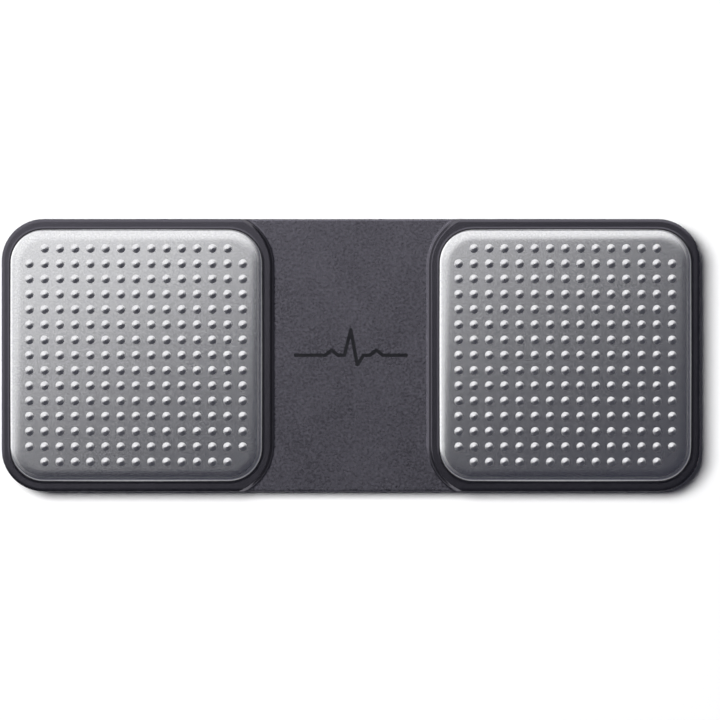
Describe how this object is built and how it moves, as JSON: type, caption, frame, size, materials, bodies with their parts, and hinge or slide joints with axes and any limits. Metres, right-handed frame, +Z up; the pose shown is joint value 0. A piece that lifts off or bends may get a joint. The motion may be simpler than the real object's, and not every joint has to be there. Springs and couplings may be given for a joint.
{
  "type": "ecg home monitor",
  "caption": "Slim pocket heart monitor: a dark moulded bar with a square embossed steel electrode near each end, one of them on a lift-off battery door over a coin cell.",
  "frame": {"origin": "middle of the rear face that the monitor lies on", "axes": "+X along the bar from the bonded electrode to the battery door's electrode, +Y across the bar, +Z up out of the electrodes"},
  "size_m": [0.082, 0.032, 0.0035],
  "materials": {
    "rear_plastic": "fine grained moulded, dark grey",
    "front_plastic": "satin frames and a fine spark grain on the panel, dark grey",
    "shell_adhesive": "cured bead",
    "mark_lacquer": "gloss black",
    "electrode_steel": "satin stainless, blasted",
    "film_adhesive": "double-sided film",
    "door_plastic": "moulded, dark grey",
    "contact_strip": "gold-flashed spring strip",
    "foam": "open-cell foam",
    "cell_steel": "drawn steel, lightly brushed",
    "cell_filling": "lithium, separator and cathode",
    "grommet_plastic": "moulded insulator",
    "board_laminate": "solder mask over laminate",
    "chip_resin": "moulded resin",
    "ferrite": "sintered ferrite",
    "crystal_can": "plated can",
    "chip_ceramic": "fired ceramic with tinned ends",
    "sounder_brass": "rolled brass",
    "sounder_ceramic": "silvered ceramic",
    "lead_wire": "short tinned wire"
  },
  "bodies": {
    "housing": {"rear_housing": "rear_plastic", "front_housing": "front_plastic", "housing_bond": "shell_adhesive", "pulse_mark": "mark_lacquer", "left_electrode": "electrode_steel", "left_electrode_adhesive": "film_adhesive", "battery_negative_contact": "contact_strip", "battery_positive_contact": "contact_strip", "left_contact_spring": "contact_strip", "right_contact_spring": "contact_strip", "circuit_board": "board_laminate", "microcontroller": "chip_resin", "analog_front_end": "chip_resin", "voltage_regulator": "chip_resin", "power_inductor": "ferrite", "clock_crystal": "crystal_can", "chip_capacitors": "chip_ceramic", "chip_resistors": "chip_ceramic", "protection_diodes": "chip_resin", "piezo_bond": "film_adhesive", "piezo_plate": "sounder_brass", "piezo_ceramic": "sounder_ceramic", "piezo_leads": "lead_wire"},
    "door": {"battery_door": "door_plastic", "right_electrode": "electrode_steel", "right_electrode_adhesive": "film_adhesive", "door_contact_strip": "contact_strip", "battery_foam_pad": "foam"},
    "coin_cell": {"coin_cell_can": "cell_steel", "coin_cell_cap": "cell_steel", "coin_cell_core": "cell_filling", "coin_cell_grommet": "grommet_plastic"}
  },
  "joints": [
    {"name": "door_lift", "type": "slide", "parent": "housing", "child": "door", "axis": [0, 0, 1], "range_m": [0, 0.016]},
    {"name": "cell_lift", "type": "slide", "parent": "housing", "child": "coin_cell", "axis": [0, 0, 1], "range_m": [0, 0.008]}
  ],
  "couplings": [
    {"joint": "cell_lift", "follows": "door_lift", "ratio": 0.5}
  ]
}
